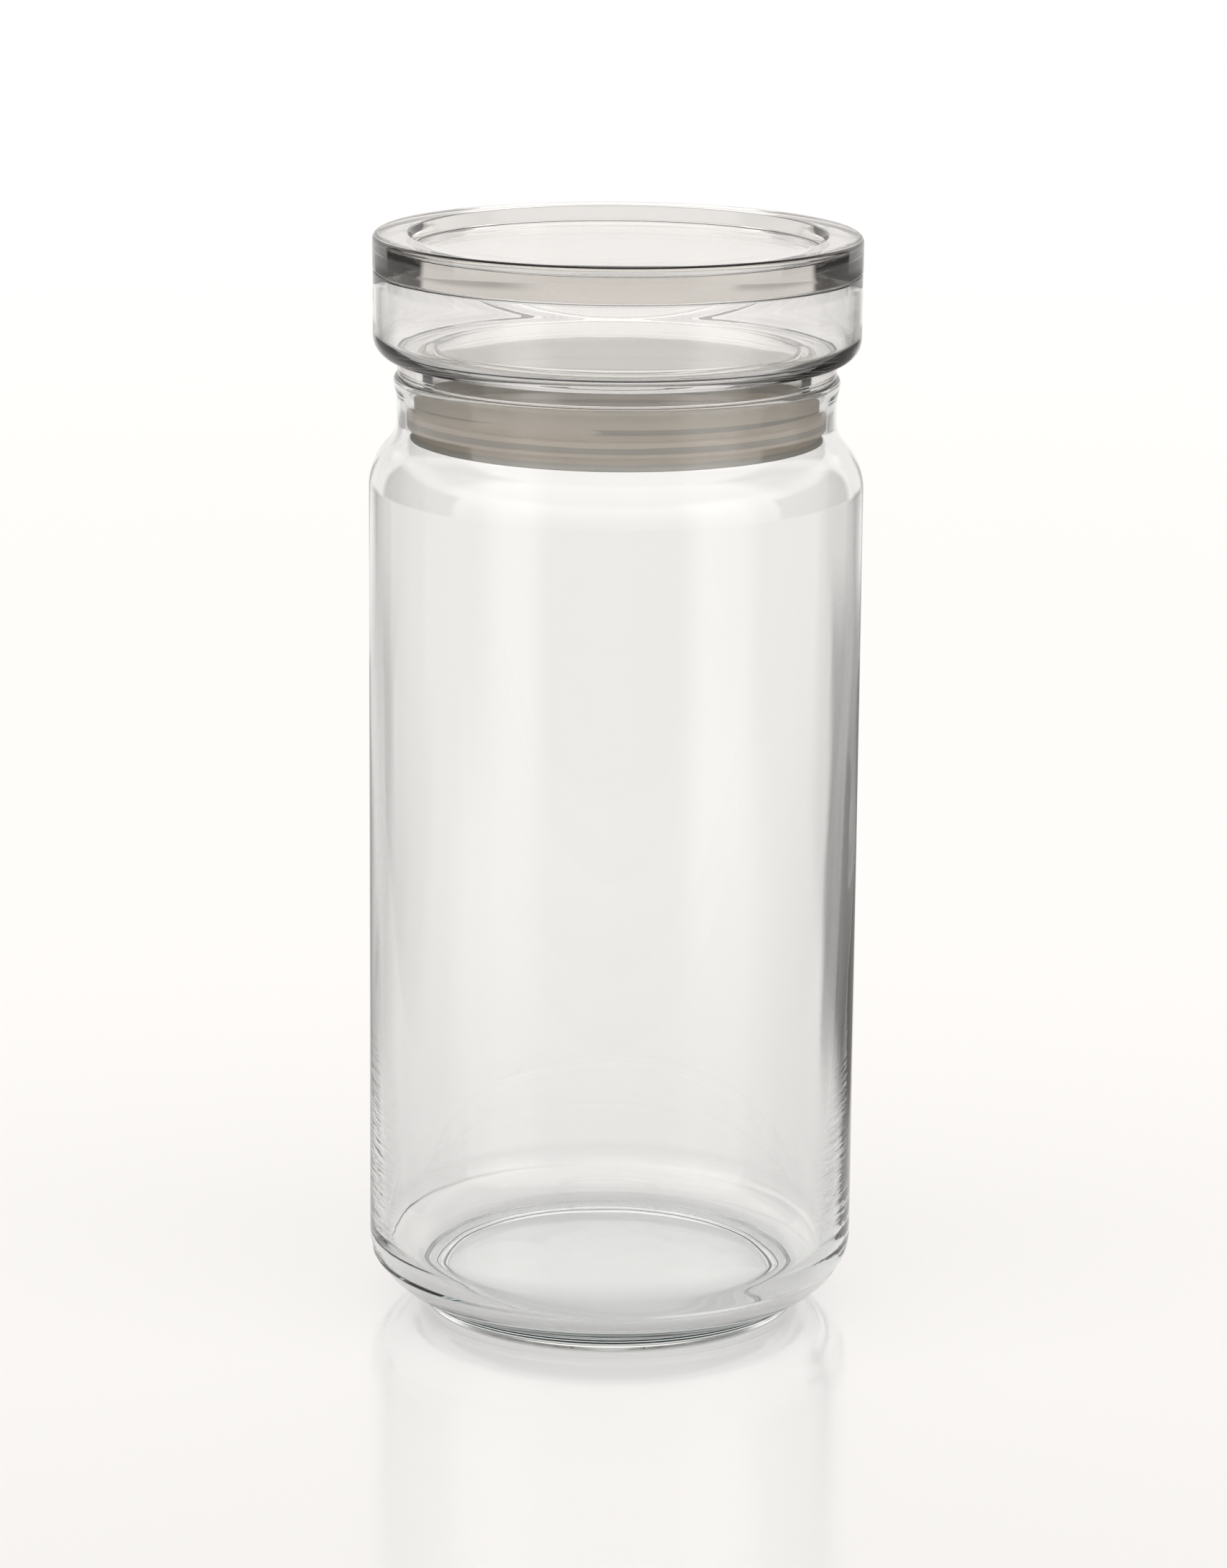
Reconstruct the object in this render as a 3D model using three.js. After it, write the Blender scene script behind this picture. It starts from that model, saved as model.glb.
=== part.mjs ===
// Lidded glass storage canister: a clear glass jar and a push-in lid.
// The lid is a thick clear moulded disc closed onto a hollow cup; the cup's skirt carries a gasket.
// Millimetres, +Z up. The origin is the centre of the circle that the jar's foot stands on.

import * as THREE from 'three';

// ---- driving dimensions -------------------------------------------------------------------

const SIDES = 48;                // facets round the axis
const FIT_GAP = 0.3;             // clearance kept between neighbouring pieces
const ARC_STEP_DEGREES = 15;     // largest turn between two points of a rounded corner

const JAR = {
  radius: 54,                    // straight body, outside
  wall: 1.7,
  taperStart: 150,               // from here down the wall grows thicker
  taperLength: 100,
  taperGrowth: 1.8,              // extra wall at the end of that length
  taperPower: 1.6,
  taperPoints: 8,
  height: 209.6,                 // top of the rim
  footRadius: 42.3,
  heelBottom: 2.1,               // lowest level of the heel's curve, which ends on the foot ring
  footWidth: 3.5,
  footEdge: 0.5,                 // rounding of the foot ring's edges
  recessDepth: 1.6,              // hollow under the base, inside the foot ring
  heelReach: 17.7,               // half axes of the heel's elliptical curve
  heelRise: 13.9,
  floorHeight: 8,                // inside floor, a heavy base
  coveRise: 12,                  // the curve between the inside floor and the wall
  creaseRadius: 43.4,            // it meets the floor in a soft crease
  creaseTurn: 72,                // degrees of the curve
  shoulderStart: 184.9,          // the straight body ends here
  shoulderRadius: 13.6,          // convex curve out of the body
  throatRadius: 7.5,             // concave curve into the neck
  neckRadius: 47.9,
  rimRadius: 48.6,               // outside of the rolled rim
  rimSwell: 2.4,                 // height over which the neck swells out to the rim
};

const LID = {
  radius: 53.2,
  height: 240.4,                 // top of the stacking ring, the canister's overall height
  topEdge: 1.6,                  // rounding of the outer top edge
  ringInnerRadius: 45.5,         // the next canister's foot stands inside this ring
  ringInnerEdge: 0.8,
  recessFloorRadius: 43.6,
  recessDepth: 3.2,
  bottom: 232.7,                 // joint between the disc and the cup
};

const CUP = {
  radius: 53.1,
  wall: 1.8,
  floorTop: 215.8,
  bottom: 213.3,
  cornerRadius: 5.1,
  stepRadius: 47.8,              // solid step that sits over the glass rim
  skirtRadius: 41.7,
  skirtBottom: 195.9,
  retainerRadius: 42.9,          // lip at the foot of the skirt that keeps the gasket on
  retainerHeight: 1.1,
};

const GASKET = {
  sleeveRadius: 43.5,
  top: 209,
  finRadius: 45.7,
  finTop: 202.4,
  finBottom: 198.9,
  finEdge: 0.6,
  lipRadius: 44.8,
  lipTop: 197.9,
  bottom: 195.7,
  lipEdge: 0.5,
};

// ---- outline helpers ----------------------------------------------------------------------

const point = (radius, height) => new THREE.Vector2(radius, height);

// Points of an elliptical arc between two angles, both ends included.
function ellipseArc(centreRadius, centreHeight, reach, rise, fromDegrees, toDegrees) {
  const steps = Math.max(1, Math.ceil(Math.abs(toDegrees - fromDegrees) / ARC_STEP_DEGREES));
  const points = [];
  for (let step = 0; step <= steps; step += 1) {
    const degrees = fromDegrees + ((toDegrees - fromDegrees) * step) / steps;
    const angle = THREE.MathUtils.degToRad(degrees);
    points.push(point(
      centreRadius + reach * Math.cos(angle),
      centreHeight + rise * Math.sin(angle),
    ));
  }
  return points;
}

function arc(centreRadius, centreHeight, radius, fromDegrees, toDegrees) {
  return ellipseArc(centreRadius, centreHeight, radius, radius, fromDegrees, toDegrees);
}

// A solid of revolution about Z. The outline runs outwards along the bottom and back over the top.
function turned(name, outline, look) {
  const geometry = new THREE.LatheGeometry(outline, SIDES);
  geometry.rotateX(Math.PI / 2);
  const mesh = new THREE.Mesh(geometry, new THREE.MeshStandardMaterial(look));
  mesh.name = name;
  return mesh;
}

// ---- glass jar ----------------------------------------------------------------------------

// The two tangent arcs of the shoulder, moved inwards by an offset for the inside of the wall.
function shoulderArcs(offset) {
  const reach = JAR.shoulderRadius + JAR.throatRadius;
  const narrowing = JAR.radius - JAR.neckRadius;
  const turn = THREE.MathUtils.radToDeg(Math.acos((reach - narrowing) / reach));
  const rise = reach * Math.sin(THREE.MathUtils.degToRad(turn));
  const convex = arc(
    JAR.radius - JAR.shoulderRadius, JAR.shoulderStart,
    JAR.shoulderRadius - offset, 0, turn,
  );
  const concave = arc(
    JAR.neckRadius + JAR.throatRadius, JAR.shoulderStart + rise,
    JAR.throatRadius + offset, 180 + turn, 180,
  );
  return [...convex, ...concave];
}

function jarFoot() {
  const innerRadius = JAR.footRadius - JAR.footWidth;
  const recessEdge = innerRadius - JAR.recessDepth;
  return [
    point(0, JAR.recessDepth),
    point(recessEdge, JAR.recessDepth),
    point(innerRadius, 0),
    ...arc(JAR.footRadius - JAR.footEdge, JAR.footEdge, JAR.footEdge, -90, 0),
  ];
}

function jarHeel() {
  const centreRadius = JAR.radius - JAR.heelReach;
  const centreHeight = JAR.heelBottom + JAR.heelRise;
  const start = -THREE.MathUtils.radToDeg(
    Math.acos((JAR.footRadius - centreRadius) / JAR.heelReach),
  );
  return ellipseArc(centreRadius, centreHeight, JAR.heelReach, JAR.heelRise, start, 0);
}

function jarRim() {
  const bore = JAR.neckRadius - JAR.wall;
  const beadRadius = (JAR.rimRadius - bore) / 2;
  const beadHeight = JAR.height - beadRadius;
  return [
    point(JAR.neckRadius, beadHeight - JAR.rimSwell),
    ...arc(bore + beadRadius, beadHeight, beadRadius, 0, 180),
  ];
}

// Inside radius at a height: the wall grows thicker towards the base.
function insideRadius(height) {
  const down = Math.max(0, JAR.taperStart - height) / JAR.taperLength;
  return JAR.radius - JAR.wall - JAR.taperGrowth * down ** JAR.taperPower;
}

function jarInside() {
  const turn = THREE.MathUtils.degToRad(JAR.creaseTurn);
  const coveTop = JAR.floorHeight + JAR.coveRise * Math.sin(turn);
  const coveReach = (insideRadius(coveTop) - JAR.creaseRadius) / (1 - Math.cos(turn));
  const taper = [];
  for (let step = 0; step < JAR.taperPoints; step += 1) {
    const height = JAR.taperStart + ((coveTop - JAR.taperStart) * step) / JAR.taperPoints;
    taper.push(point(insideRadius(height), height));
  }
  return [
    ...shoulderArcs(JAR.wall).reverse(),
    ...taper,
    ...ellipseArc(insideRadius(coveTop) - coveReach, coveTop,
      coveReach, JAR.coveRise, 0, -JAR.creaseTurn),
    point(0, JAR.floorHeight),
  ];
}

function makeJar() {
  const outline = [
    ...jarFoot(),
    ...jarHeel(),
    ...shoulderArcs(0),
    ...jarRim(),
    ...jarInside(),
  ];
  return turned('glass_jar', outline, {
    color: '#e6efec', roughness: 0.03, metalness: 0, transparent: true, opacity: 0.35,
  });
}

// ---- lid dish: thick disc with a raised stacking ring ----------------------------------------

function makeLidDish() {
  const recessFloor = LID.height - LID.recessDepth;
  const slope = LID.ringInnerRadius - LID.recessFloorRadius;
  const outline = [
    point(0, LID.bottom),
    point(LID.radius, LID.bottom),
    ...arc(LID.radius - LID.topEdge, LID.height - LID.topEdge, LID.topEdge, 0, 90),
    ...arc(LID.ringInnerRadius + LID.ringInnerEdge, LID.height - LID.ringInnerEdge,
      LID.ringInnerEdge, 90, 180),
    ...ellipseArc(LID.recessFloorRadius, recessFloor + LID.recessDepth / 2,
      slope, LID.recessDepth / 2, 0, -90),
    point(0, recessFloor),
  ];
  return turned('lid_dish', outline, {
    color: '#d8cfc4', roughness: 0.05, metalness: 0, transparent: true, opacity: 0.45,
  });
}

// ---- lid cup: outer wall, closed floor, step over the rim, open skirt ------------------------

function makeLidCup() {
  const cornerCentreRadius = CUP.radius - CUP.cornerRadius;
  const cornerCentreHeight = CUP.bottom + CUP.cornerRadius;
  const innerCorner = CUP.cornerRadius - CUP.wall;
  const wallTop = LID.bottom - FIT_GAP;
  const stepBottom = JAR.height + FIT_GAP;
  const skirtInside = CUP.skirtRadius - CUP.wall;
  const retainerTop = CUP.skirtBottom + CUP.retainerHeight;
  const outline = [
    point(0, CUP.bottom),
    point(skirtInside, CUP.bottom),
    point(skirtInside, CUP.skirtBottom),
    point(CUP.retainerRadius, CUP.skirtBottom),
    point(CUP.retainerRadius, retainerTop),
    point(CUP.skirtRadius, retainerTop),
    point(CUP.skirtRadius, stepBottom),
    point(CUP.stepRadius, stepBottom),
    point(CUP.stepRadius, CUP.bottom),
    ...arc(cornerCentreRadius, cornerCentreHeight, CUP.cornerRadius, -90, 0),
    point(CUP.radius, wallTop),
    point(CUP.radius - CUP.wall, wallTop),
    ...arc(cornerCentreRadius, CUP.floorTop + innerCorner, innerCorner, 0, -90),
    point(0, CUP.floorTop),
  ];
  return turned('lid_cup', outline, {
    color: '#e4e0da', roughness: 0.05, metalness: 0, transparent: true, opacity: 0.4,
  });
}

// ---- gasket: sleeve round the skirt, sealing fin, flared lip ---------------------------------

function makeGasket() {
  const bore = CUP.skirtRadius + FIT_GAP;
  const lipBore = CUP.retainerRadius + FIT_GAP;
  const lipBoreTop = CUP.skirtBottom + CUP.retainerHeight + FIT_GAP;
  const outline = [
    point(lipBore, GASKET.bottom),
    ...arc(GASKET.lipRadius - GASKET.lipEdge, GASKET.bottom + GASKET.lipEdge,
      GASKET.lipEdge, -90, 0),
    point(GASKET.sleeveRadius, GASKET.lipTop),
    point(GASKET.sleeveRadius, GASKET.finBottom),
    ...arc(GASKET.finRadius - GASKET.finEdge, GASKET.finBottom + GASKET.finEdge,
      GASKET.finEdge, -90, 0),
    ...arc(GASKET.finRadius - GASKET.finEdge, GASKET.finTop - GASKET.finEdge,
      GASKET.finEdge, 0, 90),
    point(GASKET.sleeveRadius, GASKET.finTop),
    point(GASKET.sleeveRadius, GASKET.top),
    point(bore, GASKET.top),
    point(bore, lipBoreTop),
    point(lipBore, lipBoreTop),
    point(lipBore, GASKET.bottom),
  ];
  return turned('gasket', outline, { color: '#cfc8bc', roughness: 0.45, metalness: 0 });
}

// ---- assembly -----------------------------------------------------------------------------

const lid = new THREE.Group();
lid.add(makeLidDish(), makeLidCup(), makeGasket());

const canister = new THREE.Group();
canister.add(makeJar(), lid);

export default canister;
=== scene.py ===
"""Lidded glass storage canister: the looks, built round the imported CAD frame.

Every visible piece is a surface of revolution: a profile of radius and height carried round the
vertical axis. All lengths are in metres; MM turns a length in millimetres into metres.
"""

import math

import bpy
import numpy as np
from mathutils import Euler, Matrix, Vector


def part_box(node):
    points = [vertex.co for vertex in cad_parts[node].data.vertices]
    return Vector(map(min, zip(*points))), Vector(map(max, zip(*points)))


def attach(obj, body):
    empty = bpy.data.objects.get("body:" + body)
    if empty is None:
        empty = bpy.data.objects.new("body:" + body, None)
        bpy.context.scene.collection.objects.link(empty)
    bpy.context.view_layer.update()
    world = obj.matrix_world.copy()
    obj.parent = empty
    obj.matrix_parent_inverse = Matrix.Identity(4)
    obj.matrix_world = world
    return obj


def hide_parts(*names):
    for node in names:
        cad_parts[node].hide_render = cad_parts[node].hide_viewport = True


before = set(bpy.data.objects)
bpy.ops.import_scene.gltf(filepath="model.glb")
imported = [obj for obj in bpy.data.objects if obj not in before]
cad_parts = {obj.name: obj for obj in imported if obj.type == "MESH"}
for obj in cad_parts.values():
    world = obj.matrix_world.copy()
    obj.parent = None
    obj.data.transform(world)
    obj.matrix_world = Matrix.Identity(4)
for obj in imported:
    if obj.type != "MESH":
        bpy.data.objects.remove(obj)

MM = 0.001
DEGREE = math.pi / 180
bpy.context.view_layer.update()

# ---- sizes read from the frame ------------------------------------------------------------

JAR_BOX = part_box("glass_jar")
DISH_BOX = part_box("lid_dish")
CUP_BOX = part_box("lid_cup")
GASKET_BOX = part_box("gasket")

JAR_RADIUS = JAR_BOX[1].x
JAR_HEIGHT = JAR_BOX[1].z
DISH_RADIUS = DISH_BOX[1].x
CANISTER_HEIGHT = DISH_BOX[1].z
CUP_RADIUS = CUP_BOX[1].x
CUP_TOP = CUP_BOX[1].z
SKIRT_BOTTOM = CUP_BOX[0].z
GASKET_TOP = GASKET_BOX[1].z
GASKET_BOTTOM = GASKET_BOX[0].z

# ---- sizes that the boxes don't give ------------------------------------------------------

FIT_GAP = 0.3 * MM               # clearance between neighbouring pieces
SMALL_EDGE = 0.25 * MM           # rounding left by the mould on the cup's edges
JOINT_EDGE = 0.4 * MM            # the two rounded edges that meet at the lid's joint

JAR_WALL = 1.7 * MM
JAR_FOOT_RADIUS = 42.3 * MM
JAR_FOOT_WIDTH = 3.5 * MM
JAR_FOOT_EDGE = 1.2 * MM         # the foot's edges are softer than the CAD's
JAR_FOOT_INNER_EDGE = 2.0 * MM
JAR_RECESS_ROUNDING = 3.0 * MM
JAR_RECESS_DEPTH = 1.6 * MM
JAR_HEEL_BOTTOM = 2.1 * MM
JAR_HEEL_REACH = 17.7 * MM
JAR_HEEL_RISE = 13.9 * MM
JAR_FLOOR = 8.0 * MM
JAR_CREASE_RADIUS = 43.4 * MM    # the cove meets the floor in a soft crease here
JAR_CREASE_TURN = 72             # degrees of the cove's curve that end at the crease
JAR_COVE_RISE = 12 * MM
JAR_TAPER_START = 150 * MM       # from here down the wall grows thicker
JAR_TAPER_LENGTH = 100 * MM
JAR_TAPER_GROWTH = 1.8 * MM      # extra wall at the end of that length
JAR_TAPER_POWER = 1.6
JAR_SHOULDER_START = 184.9 * MM
JAR_SHOULDER_RADIUS = 13.6 * MM
JAR_THROAT_RADIUS = 7.5 * MM
JAR_NECK_RADIUS = 47.9 * MM
JAR_RIM_SWELL = 3.84 * MM        # the neck eases out to the rim over this height
JAR_RIM_RADIUS = 48.6 * MM

UNEVEN_TOP = 170 * MM            # the wall is thicker on the +X side from here down
UNEVEN_FULL = 40 * MM
UNEVEN_DEPTH = 0.7 * MM
UNEVEN_FADE = 6 * MM             # it dies out over this height above the floor
UNEVEN_SKIN = 0.6 * JAR_WALL     # the body's outside, to this depth, stays as it is

DISH_BOTTOM = 232.7 * MM
DISH_TOP_EDGE = 1.3 * MM
DISH_RING_INNER = 45.5 * MM
DISH_RING_EDGE = 0.6 * MM
DISH_RECESS_FLOOR = 43.6 * MM
DISH_RECESS_DEPTH = 3.2 * MM
DISH_RECESS_FILLET = 1.2 * MM

CUP_WALL = 1.8 * MM
CUP_FLOOR_TOP = 215.8 * MM
CUP_BOTTOM = 213.3 * MM
CUP_CORNER = 5.1 * MM
CUP_INNER_CORNER = CUP_CORNER - CUP_WALL     # keeps the wall even round the corner
CUP_STEP_RADIUS = 47.8 * MM
CUP_STEP_BOTTOM = JAR_HEIGHT + FIT_GAP
CUP_STEP_ROOT = 0.2 * MM
CUP_SKIRT_RADIUS = 41.7 * MM
CUP_SKIRT_FILLET = 0.8 * MM      # between the cup's floor and the inside of the skirt
CUP_SKIRT_FOOT = 0.4 * MM
CUP_RETAINER_RADIUS = 42.9 * MM
CUP_RETAINER_HEIGHT = 1.1 * MM

SLEEVE_RADIUS = 43.5 * MM
SLEEVE_TOP_EDGE = 0.5 * MM
FIN_RADIUS = 45.7 * MM
FIN_TOP = 202.4 * MM
FIN_BOTTOM = 198.9 * MM
FIN_EDGE = 0.6 * MM
FIN_ROOT = 0.3 * MM
LIP_RADIUS = 44.8 * MM
LIP_TOP = 197.9 * MM
LIP_SIDE = 1.0 * MM              # height of the lip's upright side, below its flare
LIP_FOOT_EDGE = 0.5 * MM
LIP_SIDE_EDGE = 0.4 * MM
LIP_ROOT = 0.8 * MM
BORE_MOUTH_EDGE = 0.3 * MM
BORE_STEP_EDGE = 0.2 * MM

# ---- fineness of the surfaces -------------------------------------------------------------

SIDES = 256
JAR_SIDES = 512
LONGEST_STEP = 3 * MM            # between two points of a profile
ARC_POINTS = 24
LONG_ARC_POINTS = 40
CORNER_POINTS = 9
SWELL_POINTS = 10
TINY = 1e-7

# ---- finishes -----------------------------------------------------------------------------
# A grain is the size of a noise pattern's waves round the axis and along it, in millimetres.
# A clear solid takes (1 - tint) * density of the light on each metre of its way.

WHITE = "#ffffff"

GLASS_IOR = 1.52
GLASS_TINT = "#b4d4d6"
GLASS_DENSITY = 7.0
GLASS_RELIEF = 0.15 * MM
POLISH_GRAIN = (18, 60)
POLISH_DETAIL = 1.0
SETTLE_GRAIN = (14, 1.6)
SETTLE_DETAIL = 3.0
SETTLE_SHARE = 0.35              # depth of the settle waves beside the polish waves
SETTLE_TOP = 75 * MM
SETTLE_FULL = 25 * MM
SETTLE_ASIDE_START = 42 * MM     # distance from the YZ plane where the settle waves start
SETTLE_ASIDE_FULL = 51 * MM

PLASTIC_IOR = 1.57
PLASTIC_TINT = "#d4cfc8"
PLASTIC_DENSITY = 11.0
PLASTIC_RELIEF = 0.008 * MM
FLOW_GRAIN = (16, 5)
FLOW_DETAIL = 2.0

SILICONE_IOR = 1.41
SILICONE_LOOSE = "#fcf5eb"
SILICONE_TIGHT = "#d6d4ce"
SILICONE_TRANSLUCENCE = 0.55
SILICONE_ROUGHNESS = (0.3, 0.42)
SILICONE_PATCH_GRAIN = (3, 3)
SILICONE_PATCH_LEVELS = (0.3, 0.7)
SILICONE_SKIN_GRAIN = (0.5, 0.5)
SILICONE_RELIEF = 0.01 * MM
TOP_CONTACT = (204.6, 208.3, 0.1)        # lowest and highest level and softness, in millimetres
COLLAR_CONTACT = (203.6, 205.1, 0.15)
FIN_CONTACT = (199.9, 201.3, 0.15)
FOOT_CONTACT = (190.0, 197.4, 0.3)
TOP_CONTACT_OUTSIDE = 42.6 * MM          # the top contact is on the bore, inside this radius
TOP_CONTACT_INSIDE = 42.2 * MM
RAGGED_GRAIN = (2.2, 2.2)
RAGGED_DETAIL = 4.0
RAGGED_DEPTH = 1.1 * MM
BREAK_GRAIN = (30, 2.5)
BREAK_LEVELS = (0.40, 0.43)

TABLE_COLOUR = "#959493"
TABLE_LIGHT = "#fffdfc"
TABLE_ROUGHNESS = 0.12
TABLE_IOR = 1.6
TABLE_GLOW = 0.36                # in the glass
TABLE_SHOWN_GLOW = 0.47          # seen directly

# ---- studio -------------------------------------------------------------------------------

CAMERA_DISTANCE = 1.2135
CAMERA_PITCH = 13.5
CAMERA_ROLL = 0.5
CAMERA_LENS = 125.9
CAMERA_SENSOR = 36
CAMERA_AIM_HEIGHT = 0.1179

TABLE_HALF_WIDTH = 0.6
TABLE_FADE = 0.3                 # the side edges fade out over this width
TABLE_FRONT = -0.3
TABLE_BACK = 2.6
STRIP_NEAR = (0.08, 0.16)        # the table's unlit strips begin and end over these lengths of Y
STRIP_FAR = (0.9, 0.6)
STRIP_SLANTS = (0.066, 0.078)    # X over the distance from the camera's place, where they begin
STRIP_DARKNESS_RIGHT = 0.9
STRIP_DARKNESS_LEFT = 0.3

# Round the canister an azimuth is in degrees, 0 straight behind it and positive to +X. A height
# is the sine of the elevation. A level is the strength of the light from there.

TENT_LEVEL = 0.88
FRONT_AZIMUTHS = (80, 100)       # the front is brighter, more so with the height
FRONT_HEIGHTS = (-0.2, 0.85)
FRONT_EXTRA = 1.35
TOP_HEIGHTS = (0.45, 0.65)
TOP_EXTRA = -0.65
BEHIND_HEIGHTS = (0.18, 0.28)
BEHIND_ANGLES = (0.7, 0.5)       # in radians
BEHIND_EXTRA = 0.35
HORIZON = -0.145                 # height where the table's far edge ends
HORIZON_SOFT = 0.02
GAP = (43, 98, 1.5)              # the dark gap at each side: start, end and softness
GAP_TOP = 0.3
GAP_TOP_FADE = 0.12
GAP_LEVEL = 0.05
FLOOR_ZONES = (                  # beyond the white sheet: start, end, softness and level
    ((-190, -21, 2), 0.7),
    ((12, 190, 2), 0.65),
)
SHALLOW_ZONES = (                # the same, only near the horizon
    ((-50, -21, 2), 0.42),
    ((12, 70, 2), 0.32),
)
SHALLOW_HEIGHTS = (-0.42, -0.3)
SOFTBOXES = (
    ((113, 142, 8), 0.7),
    ((-144, -124, 8), 0.3),
)
SOFTBOX_HEIGHTS = (0.65, 0.5)
WARM_GREEN = 0.975               # the light's green and blue beside its red
WARM_BLUE = 0.945

CLEAR_BOUNCES = 128              # enough for stacked clear walls
GLOSSY_BOUNCES = 8
TRANSPARENT_BOUNCES = 16


# ---- profiles -----------------------------------------------------------------------------

def arc(centre, reach, rise, from_degrees, to_degrees, points=ARC_POINTS):
    """Elliptical arc: radius = centre + reach cos t, height = centre + rise sin t."""
    t = np.radians(np.linspace(from_degrees, to_degrees, points))
    return np.stack([centre[0] + reach * np.cos(t), centre[1] + rise * np.sin(t)], 1)


def smooth(t):
    """Zero to one with level ends: t * t * (3 - 2 t)."""
    return t * t * (3 - 2 * t)


def rounded(corners):
    """An outline through (radius, height, rounding) corners, each turned into a tangent arc.

    The arc turns the start of the round about its centre: centre + cos t * start + sin t * across,
    from where the circle touches the straight line before the corner to where it touches the next.
    """
    places = np.array([corner[:2] for corner in corners])
    outline = [places[:1]]
    for before, at, after, corner in zip(places[:-2], places[1:-1], places[2:], corners[1:-1]):
        rounding = corner[2]
        if rounding == 0:
            outline.append(at[None])
            continue
        towards = (before - at) / np.linalg.norm(before - at)
        away = (after - at) / np.linalg.norm(after - at)
        half_turn = math.acos(np.clip(towards @ away, -1, 1)) / 2
        reach = rounding / math.tan(half_turn)
        bisector = (towards + away) / np.linalg.norm(towards + away)
        centre = at + bisector * rounding / math.sin(half_turn)
        start = at + towards * reach - centre
        end = at + away * reach - centre
        sweep = math.atan2(start[0] * end[1] - start[1] * end[0], start @ end)
        turn = np.linspace(0, sweep, CORNER_POINTS)
        across = np.array([-start[1], start[0]])
        outline.append(centre + np.outer(np.cos(turn), start) + np.outer(np.sin(turn), across))
    outline.append(places[-1:])
    return np.concatenate(outline)


def spaced(outline):
    """The outline with points added along it, so that no step is longer than LONGEST_STEP."""
    steps = np.linalg.norm(np.diff(outline, axis=0), axis=1)
    counts = np.maximum(1, np.ceil(steps / LONGEST_STEP).astype(int))
    start = np.repeat(outline[:-1], counts, axis=0)
    along = np.repeat(np.diff(outline, axis=0) / counts[:, None], counts, axis=0)
    number = np.concatenate([np.arange(count) for count in counts])
    return np.concatenate([start + along * number[:, None], outline[-1:]])


def without_doubles(outline):
    """The outline with each point that repeats the one before it left out."""
    steps = np.linalg.norm(np.diff(outline, axis=0), axis=1)
    return outline[np.concatenate([[True], steps > TINY])]


# ---- surfaces of revolution ---------------------------------------------------------------

def turned(name, outline, body, replaced, sides=SIDES, ripple=None):
    """A closed solid of revolution: x = r cos a, y = r sin a, z = h for each outline point (r, h).

    The outline runs outwards along the bottom and back over the top. It starts and ends on the
    axis, where a single point closes the surface, or comes back to its own first point. ripple
    gives a small change of radius as a function of the angle, the height and the radius.
    """
    outline = spaced(without_doubles(outline))
    on_axis = outline[0, 0] < TINY
    rings = outline[1:-1] if on_axis else outline[:-1]
    angle = np.arange(sides) * 2 * math.pi / sides
    radius = np.repeat(rings[:, :1], sides, axis=1)
    height = np.repeat(rings[:, 1:], sides, axis=1)
    if ripple is not None:
        radius = radius + ripple(angle[None, :], height, radius)
    places = np.stack([radius * np.cos(angle), radius * np.sin(angle), height], -1).reshape(-1, 3)

    rows = len(rings)
    row = np.arange(rows - 1 if on_axis else rows)[:, None]
    column = np.arange(sides)[None, :]
    above = (row + 1) % rows
    beside = (column + 1) % sides
    quads = np.stack([
        row * sides + column,
        row * sides + beside,
        above * sides + beside,
        above * sides + column,
    ], -1).reshape(-1, 4)
    faces = quads.tolist()
    if on_axis:
        low, high = len(places), len(places) + 1
        places = np.concatenate([places, [[0, 0, outline[0, 1]], [0, 0, outline[-1, 1]]]])
        around = np.arange(sides)
        beyond = (around + 1) % sides
        last = (rows - 1) * sides
        faces += np.stack([np.full(sides, low), beyond, around], -1).tolist()
        faces += np.stack([np.full(sides, high), last + around, last + beyond], -1).tolist()

    mesh = bpy.data.meshes.new(name)
    mesh.from_pydata(places.tolist(), [], faces)
    mesh.polygons.foreach_set("use_smooth", np.ones(len(faces), bool))
    mesh.update()
    piece = bpy.data.objects.new(name, mesh)
    bpy.context.scene.collection.objects.link(piece)
    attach(piece, body)
    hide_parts(replaced)
    return piece


# ---- glass jar ----------------------------------------------------------------------------

def shoulder(offset):
    """The shoulder's two tangent arcs, moved inwards by an offset for the inside of the wall."""
    reach = JAR_SHOULDER_RADIUS + JAR_THROAT_RADIUS
    narrowing = JAR_RADIUS - JAR_NECK_RADIUS
    turn = math.degrees(math.acos((reach - narrowing) / reach))
    rise = reach * math.sin(math.radians(turn))
    convex = arc(
        (JAR_RADIUS - JAR_SHOULDER_RADIUS, JAR_SHOULDER_START),
        JAR_SHOULDER_RADIUS - offset, JAR_SHOULDER_RADIUS - offset, 0, turn,
    )
    concave = arc(
        (JAR_NECK_RADIUS + JAR_THROAT_RADIUS, JAR_SHOULDER_START + rise),
        JAR_THROAT_RADIUS + offset, JAR_THROAT_RADIUS + offset, 180 + turn, 180,
    )
    return np.concatenate([convex, concave])


def jar_foot_and_heel():
    """The recess under the base, the foot ring with soft edges, and the heel's elliptical arc."""
    ring_inner = JAR_FOOT_RADIUS - JAR_FOOT_WIDTH
    heel_centre = (JAR_RADIUS - JAR_HEEL_REACH, JAR_HEEL_BOTTOM + JAR_HEEL_RISE)
    heel_start = -math.degrees(math.acos((JAR_FOOT_RADIUS - heel_centre[0]) / JAR_HEEL_REACH))
    heel = arc(heel_centre, JAR_HEEL_REACH, JAR_HEEL_RISE, heel_start, 0, LONG_ARC_POINTS)
    foot = rounded([
        (0, JAR_RECESS_DEPTH, 0),
        (ring_inner - JAR_RECESS_DEPTH, JAR_RECESS_DEPTH, JAR_RECESS_ROUNDING),
        (ring_inner, 0, JAR_FOOT_INNER_EDGE),
        (JAR_FOOT_RADIUS, 0, JAR_FOOT_EDGE),
        (JAR_FOOT_RADIUS, heel[0, 1], 0),
    ])
    return np.concatenate([foot, heel])


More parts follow.
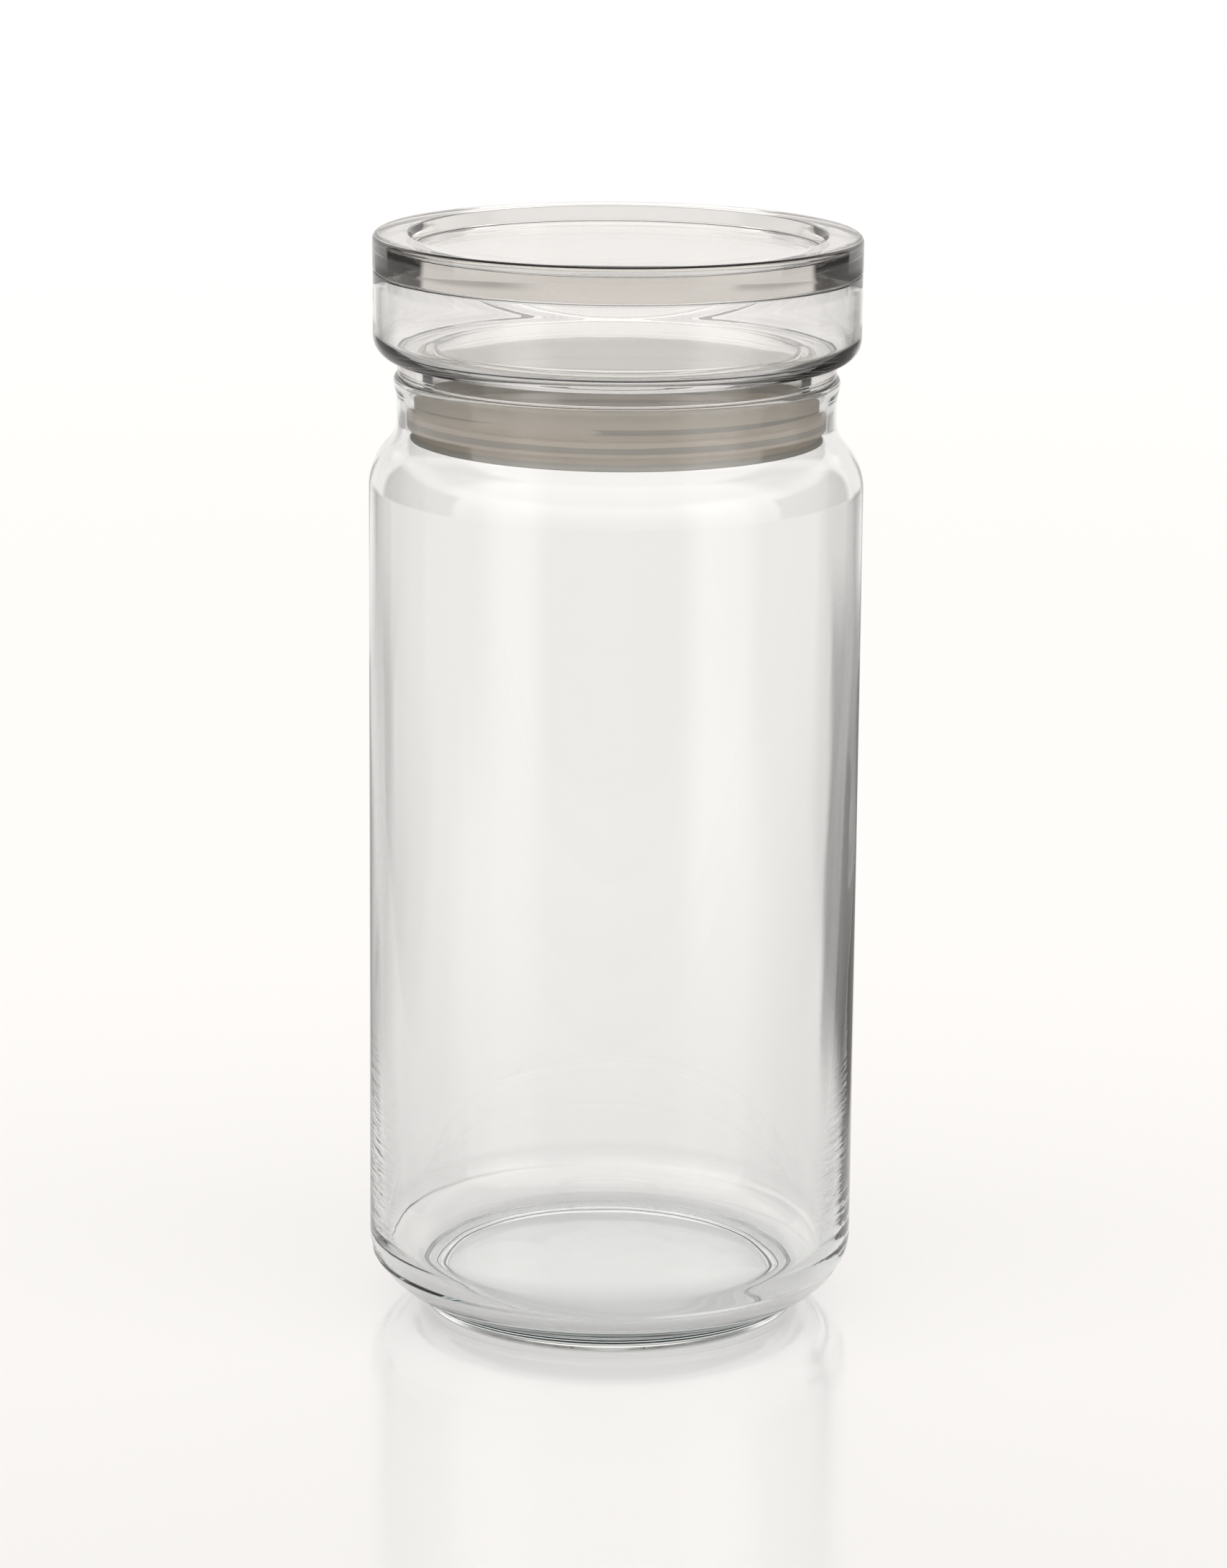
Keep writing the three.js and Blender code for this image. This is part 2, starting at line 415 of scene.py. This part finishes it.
def jar_neck_and_rim():
    """The neck, easing out to the rim, and the half circle of the rim's bead."""
    bore = JAR_NECK_RADIUS - JAR_WALL
    bead = (JAR_RIM_RADIUS - bore) / 2
    bead_height = JAR_HEIGHT - bead
    swell = np.linspace(0, 1, SWELL_POINTS)[:, None]
    below_rim = np.array([[JAR_NECK_RADIUS, bead_height - JAR_RIM_SWELL]])
    at_rim = np.array([[JAR_RIM_RADIUS, bead_height]])
    neck = below_rim + (at_rim - below_rim) * np.concatenate([smooth(swell), swell], 1)
    return np.concatenate([neck, arc((bore + bead, bead_height), bead, bead, 0, 180)])


def jar_inside():
    """The inside of the wall, thicker downwards by growth * (drop / length) ** power, and the cove."""
    crease = math.radians(JAR_CREASE_TURN)
    cove_top = JAR_FLOOR + JAR_COVE_RISE * math.sin(crease)
    height = np.linspace(JAR_TAPER_START, cove_top, LONG_ARC_POINTS)
    grown = ((JAR_TAPER_START - height) / JAR_TAPER_LENGTH) ** JAR_TAPER_POWER * JAR_TAPER_GROWTH
    taper = np.stack([JAR_RADIUS - JAR_WALL - grown, height], 1)
    cove_reach = (taper[-1, 0] - JAR_CREASE_RADIUS) / (1 - math.cos(crease))
    cove_centre = (taper[-1, 0] - cove_reach, cove_top)
    cove = arc(cove_centre, cove_reach, JAR_COVE_RISE, 0, -JAR_CREASE_TURN)
    return np.concatenate([shoulder(JAR_WALL)[::-1], taper, cove, [[0, JAR_FLOOR]]])


def jar_outline():
    """The outside from the foot up to the rim, and the inside down to the floor."""
    return np.concatenate([jar_foot_and_heel(), shoulder(0), jar_neck_and_rim(), jar_inside()])


def uneven_wall(angle, height, radius):
    """The wall is thicker on one side: the radius changes by -depth * fade * cos(angle).

    fade grows smoothly from nothing at UNEVEN_TOP to one at UNEVEN_FULL, and dies out again just
    above the floor. The outside of the body stays as it is, but not all of the heel: the part of
    it between the floor's level and where it comes within UNEVEN_SKIN of the body's radius moves
    too, by up to 0.4 mm towards +X and -X, and ends there in a step.
    """
    fade = smooth(np.clip((UNEVEN_TOP - height) / (UNEVEN_TOP - UNEVEN_FULL), 0, 1))
    above_floor = smooth(np.clip((height - JAR_FLOOR) / UNEVEN_FADE, 0, 1))
    moved = radius < JAR_RADIUS - UNEVEN_SKIN
    return -UNEVEN_DEPTH * fade * above_floor * np.cos(angle) * moved


# ---- lid ----------------------------------------------------------------------------------

def dish_outline():
    """The dish: a thick disc with a raised solid ring on top."""
    recess_floor = CANISTER_HEIGHT - DISH_RECESS_DEPTH
    return rounded([
        (0, DISH_BOTTOM, 0),
        (DISH_RADIUS, DISH_BOTTOM, JOINT_EDGE),
        (DISH_RADIUS, CANISTER_HEIGHT, DISH_TOP_EDGE),
        (DISH_RING_INNER, CANISTER_HEIGHT, DISH_RING_EDGE),
        (DISH_RECESS_FLOOR, recess_floor, DISH_RECESS_FILLET),
        (0, recess_floor, 0),
    ])


def cup_outline():
    """The cup: wall, flat floor, a solid step that sits over the rim, and a skirt below."""
    retainer_top = SKIRT_BOTTOM + CUP_RETAINER_HEIGHT
    skirt_inside = CUP_SKIRT_RADIUS - CUP_WALL
    return rounded([
        (0, CUP_BOTTOM, 0),
        (skirt_inside, CUP_BOTTOM, CUP_SKIRT_FILLET),
        (skirt_inside, SKIRT_BOTTOM, CUP_SKIRT_FOOT),
        (CUP_RETAINER_RADIUS, SKIRT_BOTTOM, SMALL_EDGE),
        (CUP_RETAINER_RADIUS, retainer_top, SMALL_EDGE),
        (CUP_SKIRT_RADIUS, retainer_top, SMALL_EDGE),
        (CUP_SKIRT_RADIUS, CUP_STEP_BOTTOM, SMALL_EDGE),
        (CUP_STEP_RADIUS, CUP_STEP_BOTTOM, SMALL_EDGE),
        (CUP_STEP_RADIUS, CUP_BOTTOM, CUP_STEP_ROOT),
        (CUP_RADIUS, CUP_BOTTOM, CUP_CORNER),
        (CUP_RADIUS, CUP_TOP, JOINT_EDGE),
        (CUP_RADIUS - CUP_WALL, CUP_TOP, SMALL_EDGE),
        (CUP_RADIUS - CUP_WALL, CUP_FLOOR_TOP, CUP_INNER_CORNER),
        (0, CUP_FLOOR_TOP, 0),
    ])


def gasket_outline():
    """The gasket: a sleeve round the skirt with a sealing fin and a flared lip."""
    bore = CUP_SKIRT_RADIUS + FIT_GAP
    lip_bore = CUP_RETAINER_RADIUS + FIT_GAP
    lip_bore_top = SKIRT_BOTTOM + CUP_RETAINER_HEIGHT + FIT_GAP
    start = ((lip_bore + LIP_RADIUS) / 2, GASKET_BOTTOM, 0)
    return rounded([
        start,
        (LIP_RADIUS, GASKET_BOTTOM, LIP_FOOT_EDGE),
        (LIP_RADIUS, GASKET_BOTTOM + LIP_SIDE, LIP_SIDE_EDGE),
        (SLEEVE_RADIUS, LIP_TOP, LIP_ROOT),
        (SLEEVE_RADIUS, FIN_BOTTOM, FIN_ROOT),
        (FIN_RADIUS, FIN_BOTTOM, FIN_EDGE),
        (FIN_RADIUS, FIN_TOP, FIN_EDGE),
        (SLEEVE_RADIUS, FIN_TOP, FIN_ROOT),
        (SLEEVE_RADIUS, GASKET_TOP, SLEEVE_TOP_EDGE),
        (bore, GASKET_TOP, BORE_MOUTH_EDGE),
        (bore, lip_bore_top, BORE_STEP_EDGE),
        (lip_bore, lip_bore_top, BORE_STEP_EDGE),
        (lip_bore, GASKET_BOTTOM, BORE_MOUTH_EDGE),
        start,
    ])


# ---- node trees ---------------------------------------------------------------------------

SMOOTH = {"interpolation_type": "SMOOTHSTEP"}
ADD = {"operation": "ADD"}
SUBTRACT = {"operation": "SUBTRACT"}
MULTIPLY = {"operation": "MULTIPLY"}
DIVIDE = {"operation": "DIVIDE"}
MAXIMUM = {"operation": "MAXIMUM"}
ABSOLUTE = {"operation": "ABSOLUTE"}


def linear(hex_colour):
    """An sRGB hex colour as linear red, green, blue and an alpha of 1."""
    value = np.array([int(hex_colour[i:i + 2], 16) for i in (1, 3, 5)]) / 255
    bright = ((value + 0.055) / 1.055) ** 2.4
    return (*np.where(value <= 0.04045, value / 12.92, bright).tolist(), 1.0)


def node(tree, kind, *values, output=0, **settings):
    """Adds a node and gives back one of its outputs, if it has any.

    The values fill its inputs in order. A setting names a property or, where the node has none of
    that name, an input. Each value is a socket to link or a constant.
    """
    made = tree.nodes.new("ShaderNode" + kind)
    inputs = dict(enumerate(values))
    for name, value in settings.items():
        if hasattr(made, name):
            setattr(made, name, value)
        else:
            inputs[name.replace("_", " ")] = value
    for key, value in inputs.items():
        if isinstance(value, bpy.types.NodeSocket):
            tree.links.new(value, made.inputs[key])
        else:
            made.inputs[key].default_value = value
    return made.outputs[output] if len(made.outputs) else None


def new_material(name):
    """An empty node material and its tree."""
    material = bpy.data.materials.new(name)
    material.use_nodes = True
    material.node_tree.nodes.clear()
    return material, material.node_tree


def grain(tree, size, detail=2.0):
    """Noise on Object coordinates, with waves of one size round the axis and one along it."""
    place = node(tree, "TexCoord", output="Object")
    across, along = size
    scale = (1 / (across * MM), 1 / (across * MM), 1 / (along * MM))
    stretched = node(tree, "Mapping", place, Scale=scale)
    return node(tree, "TexNoise", stretched, Scale=1.0, Detail=detail)


def within(tree, value, limits, unit):
    """One between two limits and nothing outside them, with soft edges.

    limits holds the lower limit, the upper one and the softness, all in the given unit.
    """
    low, high, soft = limits
    rise = node(tree, "MapRange", value, (low - soft) * unit, (low + soft) * unit, **SMOOTH)
    fall = node(tree, "MapRange", value, (high + soft) * unit, (high - soft) * unit, **SMOOTH)
    return node(tree, "Math", rise, fall, **MULTIPLY)


def place_in(tree):
    """The three Object coordinates, in metres."""
    place = node(tree, "TexCoord", output="Object")
    return node(tree, "SeparateXYZ", place).node.outputs


# ---- materials ----------------------------------------------------------------------------

def finish_clear(tree, ior, tint, density, relief, relief_depth):
    """The shader and output of a clear solid: gloss, refraction, relief and absorption."""
    bumped = node(tree, "Bump", Height=relief, Strength=1.0, Distance=relief_depth)
    shader = node(
        tree, "BsdfPrincipled", Base_Color=linear(WHITE), Roughness=0.0, IOR=ior,
        Transmission_Weight=1.0, Normal=bumped,
    )
    absorb = node(tree, "VolumeAbsorption", Color=linear(tint), Density=density)
    node(tree, "OutputMaterial", Surface=shader, Volume=absorb)


def soda_lime_glass():
    """Clear soda-lime glass, moulded and fire-polished: nearly colourless, grey-green at the edges.

    Fire polish leaves long shallow waves up the wall. Near the base fine settle waves lie almost
    level. They are only towards +X and -X, where they break up the edges in the front view.
    """
    material, tree = new_material("soda_lime_glass")
    x, y, height = place_in(tree)
    low = node(tree, "MapRange", height, SETTLE_TOP, SETTLE_FULL, **SMOOTH)
    aside = node(tree, "Math", x, **ABSOLUTE)
    at_side = node(tree, "MapRange", aside, SETTLE_ASIDE_START, SETTLE_ASIDE_FULL, **SMOOTH)
    near_base = node(tree, "Math", low, at_side, **MULTIPLY)
    settle = node(tree, "Math", grain(tree, SETTLE_GRAIN, SETTLE_DETAIL), near_base, **MULTIPLY)
    settle = node(tree, "Math", settle, SETTLE_SHARE, **MULTIPLY)
    relief = node(tree, "Math", settle, grain(tree, POLISH_GRAIN, POLISH_DETAIL), **ADD)
    finish_clear(tree, GLASS_IOR, GLASS_TINT, GLASS_DENSITY, relief, GLASS_RELIEF)
    return material


def clear_lid_plastic():
    """Clear styrene-acrylonitrile, injection moulded and glossy, with a faint warm grey tint.

    Thick mouldings shrink unevenly as they cool, which leaves very shallow flow waves.
    """
    material, tree = new_material("clear_san_plastic")
    flow = grain(tree, FLOW_GRAIN, FLOW_DETAIL)
    finish_clear(tree, PLASTIC_IOR, PLASTIC_TINT, PLASTIC_DENSITY, flow, PLASTIC_RELIEF)
    return material


def silicone_contact(tree):
    """Where the gasket lies tight against the skirt or the glass, in level bands.

    The collar's and the fin's bands stop short here and there, and the top one, which is on the
    bore only, has a ragged edge.
    """
    x, y, height = place_in(tree)
    ragged = grain(tree, RAGGED_GRAIN, RAGGED_DETAIL)
    lowered = node(tree, "Math", ragged, -RAGGED_DEPTH, **MULTIPLY)
    ragged_height = node(tree, "Math", height, lowered, **ADD)
    breaks = node(tree, "MapRange", grain(tree, BREAK_GRAIN, 0.0), *BREAK_LEVELS, **SMOOTH)
    collar = node(tree, "Math", within(tree, height, COLLAR_CONTACT, MM), breaks, **MULTIPLY)
    fin = node(tree, "Math", within(tree, height, FIN_CONTACT, MM), breaks, **MULTIPLY)
    foot = within(tree, height, FOOT_CONTACT, MM)

    flat = node(tree, "CombineXYZ", x, y, 0.0)
    radius = node(tree, "VectorMath", flat, operation="LENGTH", output="Value")
    on_bore = node(tree, "MapRange", radius, TOP_CONTACT_OUTSIDE, TOP_CONTACT_INSIDE, **SMOOTH)
    top = node(tree, "Math", within(tree, ragged_height, TOP_CONTACT, MM), on_bore, **MULTIPLY)
    contact = node(tree, "Math", fin, foot, **MAXIMUM)
    contact = node(tree, "Math", collar, contact, **MAXIMUM)
    return node(tree, "Math", contact, top, **MAXIMUM)


def gasket_silicone():
    """Milky translucent silicone rubber, compression moulded: satin.

    Where it lies tight against the clear skirt or the glass it wets the surface and looks grey;
    where air is trapped behind it, it looks beige.
    """
    material, tree = new_material("milky_silicone")
    colour = node(
        tree, "Mix", silicone_contact(tree), data_type="RGBA", output="Result",
        A=linear(SILICONE_LOOSE), B=linear(SILICONE_TIGHT),
    )
    patches = grain(tree, SILICONE_PATCH_GRAIN)
    roughness = node(
        tree, "MapRange", patches, *SILICONE_PATCH_LEVELS, *SILICONE_ROUGHNESS, **SMOOTH,
    )
    skin = grain(tree, SILICONE_SKIN_GRAIN)
    bumped = node(tree, "Bump", Height=skin, Strength=1.0, Distance=SILICONE_RELIEF)
    shader = node(
        tree, "BsdfPrincipled", Base_Color=colour, Roughness=roughness, IOR=SILICONE_IOR,
        Normal=bumped,
    )
    through = node(tree, "BsdfTranslucent", Color=colour)
    both = node(tree, "MixShader", SILICONE_TRANSLUCENCE, shader, through)
    node(tree, "OutputMaterial", Surface=both)
    return material


def unlit_strips(tree, x, y):
    """The darkness of two strips on the table, which fan out behind the canister.

    A strip begins at a slant: X over the distance in Y from the camera's place.
    """
    depth = node(tree, "Math", y, CAMERA_DISTANCE, **ADD)
    slant = node(tree, "Math", x, depth, **DIVIDE)
    start, full = STRIP_SLANTS
    right = node(tree, "MapRange", slant, start, full, 0, STRIP_DARKNESS_RIGHT, **SMOOTH)
    left = node(tree, "MapRange", slant, -start, -full, 0, STRIP_DARKNESS_LEFT, **SMOOTH)
    near = node(tree, "MapRange", y, *STRIP_NEAR, **SMOOTH)
    far = node(tree, "MapRange", y, *STRIP_FAR, **SMOOTH)
    behind = node(tree, "Math", near, far, **MULTIPLY)
    strips = node(tree, "Math", right, left, **ADD)
    return node(tree, "Math", strips, behind, **MULTIPLY)


def lit_acrylic_table():
    """White acrylic sheet, polished, and lit a little from below: its side edges fade out.

    It glows more where it is seen directly than in the glass, and its strips show only there.
    """
    material, tree = new_material("lit_acrylic_table")
    x, y, z = place_in(tree)
    seen = node(tree, "LightPath", output="Is Camera Ray")
    unseen = node(tree, "Math", 1.0, seen, **SUBTRACT)
    hidden = node(tree, "Math", unlit_strips(tree, x, y), unseen, **MULTIPLY)
    kept = node(tree, "Math", 1.0, hidden, **SUBTRACT)
    colour = node(tree, "VectorMath", linear(TABLE_COLOUR)[:3], kept, **MULTIPLY)
    glow = node(tree, "MapRange", seen, To_Min=TABLE_GLOW, To_Max=TABLE_SHOWN_GLOW)
    strength = node(tree, "Math", glow, kept, **MULTIPLY)
    sheet = node(
        tree, "BsdfPrincipled", Base_Color=colour, Roughness=TABLE_ROUGHNESS, IOR=TABLE_IOR,
        Emission_Color=linear(TABLE_LIGHT), Emission_Strength=strength,
    )
    aside = node(tree, "Math", x, **ABSOLUTE)
    edge_start = TABLE_HALF_WIDTH - TABLE_FADE
    edge = node(tree, "MapRange", aside, edge_start, TABLE_HALF_WIDTH, **SMOOTH)
    both = node(tree, "MixShader", edge, sheet, node(tree, "BsdfTransparent"))
    node(tree, "OutputMaterial", Surface=both)
    return material


# ---- studio -------------------------------------------------------------------------------

def place_camera():
    """The camera looks along +Y and down at the axis, from a little above the lid."""
    camera = bpy.data.objects.new("camera", bpy.data.cameras.new("camera"))
    camera.data.sensor_width = CAMERA_SENSOR
    camera.data.lens = CAMERA_LENS
    pitch = math.radians(CAMERA_PITCH)
    aim = Vector((0, 0, CAMERA_AIM_HEIGHT))
    back = Vector((0, -math.cos(pitch), math.sin(pitch)))
    camera.location = aim + back * CAMERA_DISTANCE
    turn = Euler((math.pi / 2 - pitch, 0, 0)).to_matrix()
    camera.rotation_euler = (turn @ Matrix.Rotation(math.radians(CAMERA_ROLL), 3, "Z")).to_euler()
    bpy.context.scene.collection.objects.link(camera)
    bpy.context.scene.camera = camera


def lay_floor():
    """A flat glossy table that runs far back behind the canister."""
    corners = [
        (-TABLE_HALF_WIDTH, TABLE_FRONT, 0),
        (TABLE_HALF_WIDTH, TABLE_FRONT, 0),
        (TABLE_HALF_WIDTH, TABLE_BACK, 0),
        (-TABLE_HALF_WIDTH, TABLE_BACK, 0),
    ]
    mesh = bpy.data.meshes.new("floor")
    mesh.from_pydata(corners, [], [(0, 1, 2, 3)])
    mesh.materials.append(lit_acrylic_table())
    floor = bpy.data.objects.new("floor", mesh)
    bpy.context.scene.collection.objects.link(floor)


def tent(tree, away, z):
    """The white tent's level: brighter in front and high up behind, dimmer overhead."""
    start, full = (azimuth * DEGREE for azimuth in FRONT_AZIMUTHS)
    front = node(tree, "MapRange", away, start, full, 0, FRONT_EXTRA, **SMOOTH)
    front_height = node(tree, "MapRange", z, *FRONT_HEIGHTS, **SMOOTH)
    level = node(tree, "Math", TENT_LEVEL, node(tree, "Math", front, front_height, **MULTIPLY), **ADD)
    top = node(tree, "MapRange", z, *TOP_HEIGHTS, 0, TOP_EXTRA, **SMOOTH)
    level = node(tree, "Math", level, top, **ADD)
    behind = node(tree, "MapRange", away, *BEHIND_ANGLES, 0, BEHIND_EXTRA, **SMOOTH)
    behind_height = node(tree, "MapRange", z, *BEHIND_HEIGHTS, **SMOOTH)
    return node(tree, "Math", level, node(tree, "Math", behind_height, behind, **MULTIPLY), **ADD)


def darkened(tree, level, mask, dark_level):
    """The level where the mask is nothing, and the dark level where it is one."""
    kept = node(tree, "Math", level, node(tree, "Math", 1.0, mask, **SUBTRACT), **MULTIPLY)
    return node(tree, "Math", kept, node(tree, "Math", mask, dark_level, **MULTIPLY), **ADD)


def gaps_and_floor(tree, level, azimuth, away, z):
    """Darkens the gap at each side and, below the horizon, the floor beyond the white sheet."""
    below = node(tree, "MapRange", z, HORIZON + HORIZON_SOFT, HORIZON - HORIZON_SOFT, **SMOOTH)
    above = node(tree, "Math", 1.0, below, **SUBTRACT)
    gap_height = node(tree, "MapRange", z, GAP_TOP + GAP_TOP_FADE, GAP_TOP, **SMOOTH)
    gap = node(tree, "Math", within(tree, away, GAP, DEGREE), gap_height, **MULTIPLY)
    level = darkened(tree, level, node(tree, "Math", gap, above, **MULTIPLY), GAP_LEVEL)
    near_horizon = node(tree, "MapRange", z, *SHALLOW_HEIGHTS, **SMOOTH)
    shallow = node(tree, "Math", below, near_horizon, **MULTIPLY)
    for heights, zones in ((below, FLOOR_ZONES), (shallow, SHALLOW_ZONES)):
        for azimuths, dark_level in zones:
            zone = node(tree, "Math", within(tree, azimuth, azimuths, DEGREE), heights, **MULTIPLY)
            level = darkened(tree, level, zone, dark_level)
    return level


def softboxes(tree, level, azimuth, z):
    """Adds the softboxes to the level."""
    steepness = node(tree, "Math", z, **ABSOLUTE)
    heights = node(tree, "MapRange", steepness, *SOFTBOX_HEIGHTS, **SMOOTH)
    for azimuths, strength in SOFTBOXES:
        box = node(tree, "Math", within(tree, azimuth, azimuths, DEGREE), strength, **MULTIPLY)
        level = node(tree, "Math", level, node(tree, "Math", box, heights, **MULTIPLY), **ADD)
    return level


def light_world():
    """Studio surroundings by direction, faintly warm. Seen directly they are plain white."""
    world = bpy.data.worlds.new("studio")
    bpy.context.scene.world = world
    world.use_nodes = True
    tree = world.node_tree
    tree.nodes.clear()
    direction = node(tree, "TexCoord", output="Generated")
    x, y, z = node(tree, "SeparateXYZ", direction).node.outputs
    azimuth = node(tree, "Math", x, y, operation="ARCTAN2")
    away = node(tree, "Math", azimuth, **ABSOLUTE)

    level = tent(tree, away, z)
    level = gaps_and_floor(tree, level, azimuth, away, z)
    level = softboxes(tree, level, azimuth, z)
    green = node(tree, "Math", level, WARM_GREEN, **MULTIPLY)
    blue = node(tree, "Math", level, WARM_BLUE, **MULTIPLY)
    warm = node(tree, "CombineColor", level, green, blue)
    seen = node(tree, "LightPath", output="Is Camera Ray")
    shown = node(tree, "Mix", seen, data_type="RGBA", output="Result", A=warm, B=linear(WHITE))
    node(tree, "OutputWorld", node(tree, "Background", shown))


def set_look():
    """Plain colour response, and enough bounces for stacked clear walls."""
    scene = bpy.context.scene
    scene.view_settings.view_transform = "Standard"
    scene.view_settings.look = "None"
    scene.cycles.max_bounces = CLEAR_BOUNCES
    scene.cycles.transmission_bounces = CLEAR_BOUNCES
    scene.cycles.glossy_bounces = GLOSSY_BOUNCES
    scene.cycles.transparent_max_bounces = TRANSPARENT_BOUNCES


# ---- the canister -------------------------------------------------------------------------

place_camera()
lay_floor()
light_world()
set_look()

jar = turned("jar_clear_glass", jar_outline(), "jar", "glass_jar",
             JAR_SIDES, uneven_wall)
dish = turned("dish_clear_plastic", dish_outline(), "lid", "lid_dish")
cup = turned("cup_clear_plastic", cup_outline(), "lid", "lid_cup")
gasket = turned("gasket_ring", gasket_outline(), "lid", "gasket")

jar.data.materials.append(soda_lime_glass())
lid_plastic = clear_lid_plastic()
dish.data.materials.append(lid_plastic)
cup.data.materials.append(lid_plastic)
gasket.data.materials.append(gasket_silicone())
